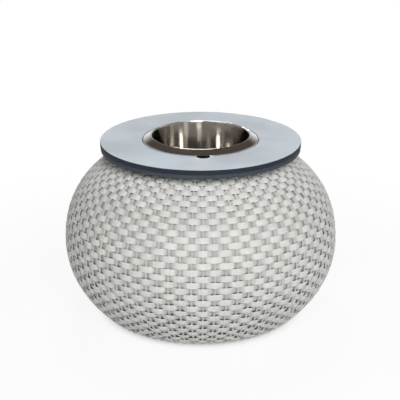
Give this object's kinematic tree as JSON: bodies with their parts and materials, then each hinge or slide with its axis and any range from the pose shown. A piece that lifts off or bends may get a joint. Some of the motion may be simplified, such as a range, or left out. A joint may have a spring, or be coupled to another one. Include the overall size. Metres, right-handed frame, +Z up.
{
  "type": "ice bucket coffee table",
  "caption": "Low round patio table with a woven ball-shaped body, a flat round top and an insulated steel ice bucket that lifts out of its middle.",
  "frame": {"origin": "on the floor, under the middle of the round body", "axes": "+Z up along the table's axis; the front, with the finger notch, faces -Y; +X to the right seen from the front"},
  "size_m": [0.699, 0.699, 0.4674],
  "materials": {
    "pale_slab": "satin compact laminate, pale blue-grey face on a black core",
    "dark_board": "fine matt slate grey",
    "polished_steel": "mirror polished stainless steel",
    "satin_steel": "satin stainless steel",
    "foam": "closed-cell insulation",
    "silicone": "matt silicone",
    "frame_coat": "pale stone powder coat on aluminium flat bar",
    "woven_strand": "whitewashed flat resin strand with fine lengthwise lines",
    "fastener_steel": "zinc-plated",
    "insert_brass": "turned",
    "moulded_glide": "moulded black nylon"
  },
  "bodies": {
    "table": {"tabletop_slab": "pale_slab", "backing_board": "dark_board", "flange_gasket": "silicone", "woven_body": "woven_strand", "mouth_ring": "frame_coat", "base_ring": "frame_coat", "upper_hoop": "frame_coat", "belly_hoop": "frame_coat", "rib_1": "frame_coat", "rib_2": "frame_coat", "rib_3": "frame_coat", "rib_4": "frame_coat", "rib_5": "frame_coat", "rib_6": "frame_coat", "upper_rivet_1": "fastener_steel", "upper_rivet_2": "fastener_steel", "upper_rivet_3": "fastener_steel", "upper_rivet_4": "fastener_steel", "upper_rivet_5": "fastener_steel", "upper_rivet_6": "fastener_steel", "belly_rivet_1": "fastener_steel", "belly_rivet_2": "fastener_steel", "belly_rivet_3": "fastener_steel", "belly_rivet_4": "fastener_steel", "belly_rivet_5": "fastener_steel", "belly_rivet_6": "fastener_steel", "threaded_insert_1": "insert_brass", "threaded_insert_2": "insert_brass", "threaded_insert_3": "insert_brass", "threaded_insert_4": "insert_brass", "threaded_insert_5": "insert_brass", "threaded_insert_6": "insert_brass", "top_screw_1": "fastener_steel", "top_screw_2": "fastener_steel", "top_screw_3": "fastener_steel", "top_screw_4": "fastener_steel", "top_screw_5": "fastener_steel", "top_screw_6": "fastener_steel", "glide_1": "moulded_glide", "glide_2": "moulded_glide", "glide_3": "moulded_glide", "glide_4": "moulded_glide", "glide_5": "moulded_glide", "glide_6": "moulded_glide", "glide_screw_1": "fastener_steel", "glide_screw_2": "fastener_steel", "glide_screw_3": "fastener_steel", "glide_screw_4": "fastener_steel", "glide_screw_5": "fastener_steel", "glide_screw_6": "fastener_steel", "foot_nut_1": "fastener_steel", "foot_nut_2": "fastener_steel", "foot_nut_3": "fastener_steel", "foot_nut_4": "fastener_steel", "foot_nut_5": "fastener_steel", "foot_nut_6": "fastener_steel"},
    "bucket": {"bucket_liner": "polished_steel", "bucket_insulation": "foam", "bucket_outer_shell": "satin_steel"}
  },
  "joints": [
    {"name": "bucket_lift", "type": "slide", "parent": "table", "child": "bucket", "axis": [0, 0, 1], "range_m": [0, 0.25]}
  ]
}
